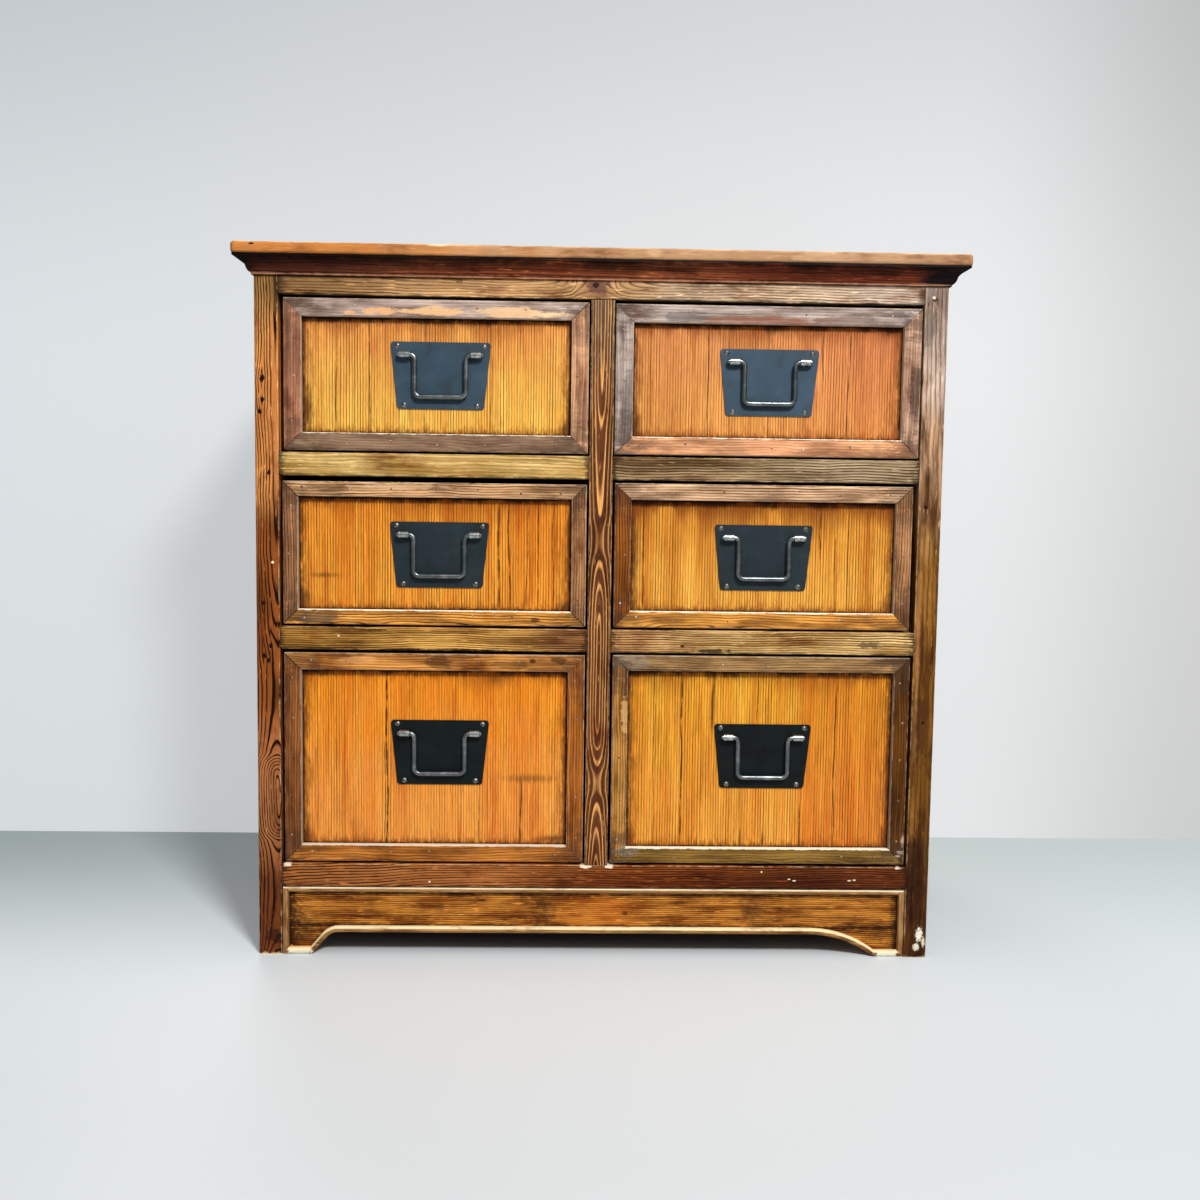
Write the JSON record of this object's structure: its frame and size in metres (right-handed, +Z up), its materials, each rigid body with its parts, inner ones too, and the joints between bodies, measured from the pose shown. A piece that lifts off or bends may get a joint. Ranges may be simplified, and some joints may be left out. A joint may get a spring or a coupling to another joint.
{
  "type": "tansu chest",
  "caption": "Floor-standing framed wooden tansu chest with two columns of drawers, tapered dark handle plates, swinging bails and an arched apron.",
  "frame": {"origin": "on the floor, under the middle of the chest's bounding box", "axes": "+X to the right seen from the front, +Y into the chest so that the drawers open along -Y, +Z up"},
  "size_m": [0.897, 0.4424, 0.884],
  "materials": {
    "top_wood": "satin wax, honey brown",
    "cornice_wood": "satin dark red brown",
    "post_wood": "satin, bold dark grain",
    "rail_wood": "satin, worn olive brown",
    "stile_wood": "satin, dark with flame grain",
    "apron_wood": "satin orange brown",
    "bead_wood": "worn pale edge",
    "side_wood": "satin brown",
    "back_wood": "bare, dull",
    "inner_wood": "bare, dull",
    "panel_wood": "satin amber, fine upright grain",
    "frame_wood": "weathered brown, satin",
    "plate_metal": "satin slate black",
    "bail_metal": "antique pewter",
    "screw_metal": "antique pewter"
  },
  "bodies": {
    "case": {"top_planks": "top_wood", "cornice": "cornice_wood", "front_left_post": "post_wood", "front_right_post": "post_wood", "back_left_post": "post_wood", "back_right_post": "post_wood", "top_rail": "rail_wood", "upper_left_rail": "rail_wood", "upper_right_rail": "rail_wood", "lower_left_rail": "rail_wood", "lower_right_rail": "rail_wood", "bottom_rail": "rail_wood", "centre_stile": "stile_wood", "left_side_panel": "side_wood", "right_side_panel": "side_wood", "side_rails": "side_wood", "back_panel": "back_wood", "back_rails": "back_wood", "partition": "inner_wood", "case_floor": "inner_wood", "drawer_runners": "inner_wood", "apron": "apron_wood", "apron_beads": "bead_wood", "arch_bead": "bead_wood"},
    "upper_left_drawer": {"upper_left_drawer_panel": "panel_wood", "upper_left_drawer_frame": "frame_wood", "upper_left_drawer_box": "inner_wood", "upper_left_handle_plate": "plate_metal", "upper_left_handle_screws": "screw_metal"},
    "upper_left_bail": {"upper_left_bail": "bail_metal"},
    "upper_right_drawer": {"upper_right_drawer_panel": "panel_wood", "upper_right_drawer_frame": "frame_wood", "upper_right_drawer_box": "inner_wood", "upper_right_handle_plate": "plate_metal", "upper_right_handle_screws": "screw_metal"},
    "upper_right_bail": {"upper_right_bail": "bail_metal"},
    "middle_left_drawer": {"middle_left_drawer_panel": "panel_wood", "middle_left_drawer_frame": "frame_wood", "middle_left_drawer_box": "inner_wood", "middle_left_handle_plate": "plate_metal", "middle_left_handle_screws": "screw_metal"},
    "middle_left_bail": {"middle_left_bail": "bail_metal"},
    "middle_right_drawer": {"middle_right_drawer_panel": "panel_wood", "middle_right_drawer_frame": "frame_wood", "middle_right_drawer_box": "inner_wood", "middle_right_handle_plate": "plate_metal", "middle_right_handle_screws": "screw_metal"},
    "middle_right_bail": {"middle_right_bail": "bail_metal"},
    "lower_left_drawer": {"lower_left_drawer_panel": "panel_wood", "lower_left_drawer_frame": "frame_wood", "lower_left_drawer_box": "inner_wood", "lower_left_handle_plate": "plate_metal", "lower_left_handle_screws": "screw_metal"},
    "lower_left_bail": {"lower_left_bail": "bail_metal"},
    "lower_right_drawer": {"lower_right_drawer_panel": "panel_wood", "lower_right_drawer_frame": "frame_wood", "lower_right_drawer_box": "inner_wood", "lower_right_handle_plate": "plate_metal", "lower_right_handle_screws": "screw_metal"},
    "lower_right_bail": {"lower_right_bail": "bail_metal"}
  },
  "joints": [
    {"name": "upper_left_slide", "type": "slide", "parent": "case", "child": "upper_left_drawer", "axis": [0, -1, 0], "range_m": [0, 0.32]},
    {"name": "upper_left_bail_swing", "type": "hinge", "parent": "upper_left_drawer", "child": "upper_left_bail", "pos_m": [-0.19935, -0.19565, 0.75575], "axis": [-1, 0, 0], "range_deg": [-2, 168]},
    {"name": "upper_right_slide", "type": "slide", "parent": "case", "child": "upper_right_drawer", "axis": [0, -1, 0], "range_m": [0, 0.32]},
    {"name": "upper_right_bail_swing", "type": "hinge", "parent": "upper_right_drawer", "child": "upper_right_bail", "pos_m": [0.20755, -0.19565, 0.7534], "axis": [-1, 0, 0], "range_deg": [-2, 168]},
    {"name": "middle_left_slide", "type": "slide", "parent": "case", "child": "middle_left_drawer", "axis": [0, -1, 0], "range_m": [0, 0.32]},
    {"name": "middle_left_bail_swing", "type": "hinge", "parent": "middle_left_drawer", "child": "middle_left_bail", "pos_m": [-0.20015, -0.19565, 0.53465], "axis": [-1, 0, 0], "range_deg": [-2, 168]},
    {"name": "middle_right_slide", "type": "slide", "parent": "case", "child": "middle_right_drawer", "axis": [0, -1, 0], "range_m": [0, 0.32]},
    {"name": "middle_right_bail_swing", "type": "hinge", "parent": "middle_right_drawer", "child": "middle_right_bail", "pos_m": [0.20525, -0.19565, 0.536], "axis": [-1, 0, 0], "range_deg": [-2, 168]},
    {"name": "lower_left_slide", "type": "slide", "parent": "case", "child": "lower_left_drawer", "axis": [0, -1, 0], "range_m": [0, 0.32]},
    {"name": "lower_left_bail_swing", "type": "hinge", "parent": "lower_left_drawer", "child": "lower_left_bail", "pos_m": [-0.19885, -0.19565, 0.285], "axis": [-1, 0, 0], "range_deg": [-2, 168]},
    {"name": "lower_right_slide", "type": "slide", "parent": "case", "child": "lower_right_drawer", "axis": [0, -1, 0], "range_m": [0, 0.32]},
    {"name": "lower_right_bail_swing", "type": "hinge", "parent": "lower_right_drawer", "child": "lower_right_bail", "pos_m": [0.20985, -0.19565, 0.28345], "axis": [-1, 0, 0], "range_deg": [-2, 168]}
  ]
}
